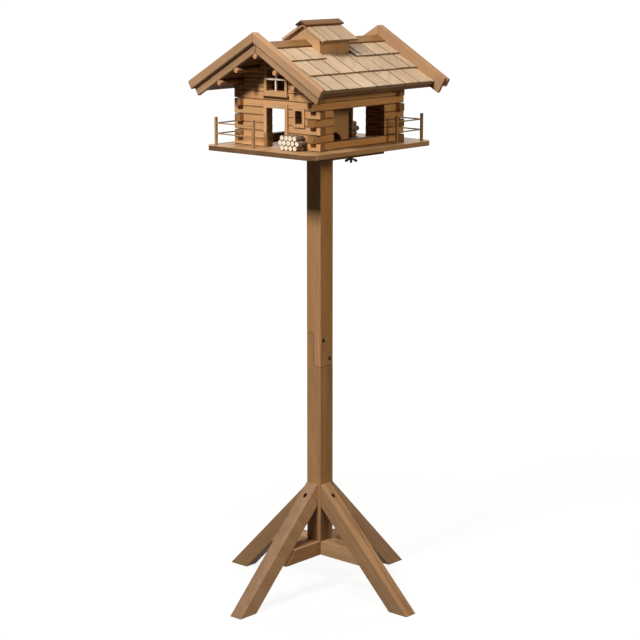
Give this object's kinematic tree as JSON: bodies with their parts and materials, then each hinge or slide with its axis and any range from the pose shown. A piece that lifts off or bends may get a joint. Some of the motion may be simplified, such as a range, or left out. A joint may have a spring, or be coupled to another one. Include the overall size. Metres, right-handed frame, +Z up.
{
  "type": "bird feeder",
  "caption": "Log-cabin bird feeder with doors and side openings, a shingled gable roof, a feed silo under a lift-off lid, and a square post on braced splayed legs.",
  "frame": {"origin": "on the ground under the middle of the post", "axes": "+Z up, +Y along the roof's ridge from the front gable with its door to the back gable, +X towards an eaves side"},
  "size_m": [0.6, 0.6, 1.4149],
  "materials": {
    "stand_wood": "stained pine, matt",
    "leg_wood": "stained pine, matt",
    "dark_wood": "darker brown stained pine, matt",
    "floor_wood": "stained pine board, matt",
    "wall_wood": "stained pine logs, matt",
    "silo_wood": "stained plywood, matt",
    "roof_wood": "stained shingles, matt",
    "edge_wood": "stained pine boards, matt",
    "trim_wood": "stained pine strips, matt",
    "fence_wood": "thin stained pine sticks, matt",
    "birch": "small birch logs, pale ends and dark bark",
    "black_metal": "black"
  },
  "bodies": {
    "house": {"post_lower": "stand_wood", "post_upper": "stand_wood", "leg_front": "leg_wood", "leg_right": "leg_wood", "leg_back": "leg_wood", "leg_left": "leg_wood", "cross_bar_x": "stand_wood", "cross_bar_y": "stand_wood", "head_board": "dark_wood", "wing_bolts": "black_metal", "floor_board": "floor_wood", "front_wall_left": "wall_wood", "front_wall_right": "wall_wood", "front_wall_top": "wall_wood", "front_gable": "wall_wood", "back_wall_left": "wall_wood", "back_wall_right": "wall_wood", "back_wall_top": "wall_wood", "back_gable": "wall_wood", "left_wall_sill": "wall_wood", "left_wall_front": "wall_wood", "left_wall_back": "wall_wood", "left_wall_top": "wall_wood", "right_wall_sill": "wall_wood", "right_wall_front": "wall_wood", "right_wall_back": "wall_wood", "right_wall_top": "wall_wood", "front_door_casing": "trim_wood", "back_door_casing": "trim_wood", "front_window_frames": "trim_wood", "back_window_frames": "trim_wood", "silo_front": "silo_wood", "silo_back": "silo_wood", "silo_left": "silo_wood", "silo_right": "silo_wood", "roof_left": "roof_wood", "roof_right": "roof_wood", "ridge_caps": "dark_wood", "front_edge_boards": "edge_wood", "back_edge_boards": "edge_wood", "purlins": "fence_wood", "fence_front": "fence_wood", "fence_left": "fence_wood", "fence_back": "fence_wood", "fence_right": "fence_wood", "front_firewood": "birch", "back_firewood": "birch"},
    "lid": {"silo_lid": "roof_wood"}
  },
  "joints": [
    {"name": "lid_lift", "type": "slide", "parent": "house", "child": "lid", "axis": [0, 0, 1], "range_m": [0, 0.12]}
  ]
}
